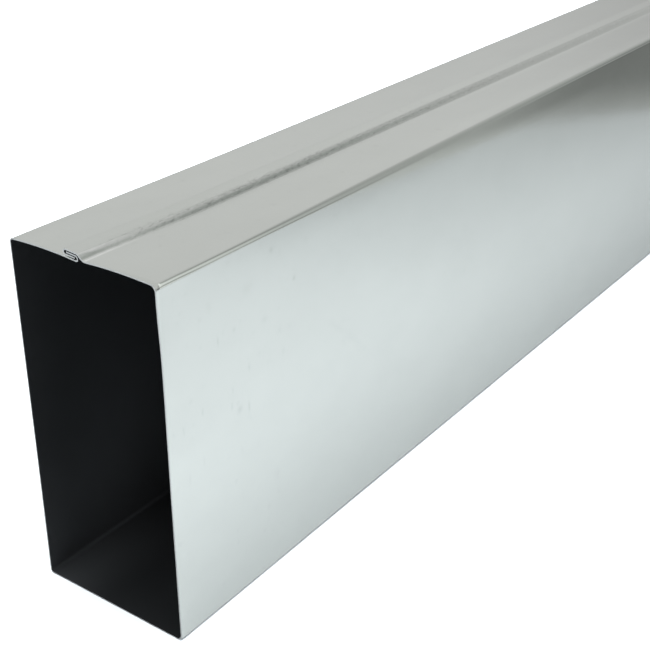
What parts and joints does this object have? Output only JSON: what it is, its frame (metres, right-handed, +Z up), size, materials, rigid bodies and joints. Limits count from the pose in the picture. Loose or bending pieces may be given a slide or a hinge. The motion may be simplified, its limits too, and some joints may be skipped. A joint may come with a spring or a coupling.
{
  "type": "rectangular sheet-steel duct",
  "caption": "Rectangular air duct of folded galvanised sheet steel, open at both ends, closed by a grooved lock seam along its upper narrow wall.",
  "frame": {"origin": "middle of the outer face of the lower narrow wall, halfway along the duct", "axes": "+Y along the duct, +X across its width, +Z up towards the wall with the lock seam"},
  "size_m": [0.08, 1.5, 0.168],
  "materials": {
    "galvanised_sheet": "bright hot-dip zinc, satin, with a near-black inside"
  },
  "bodies": {
    "root": {"folded_duct_sheet": "galvanised_sheet"}
  },
  "joints": []
}
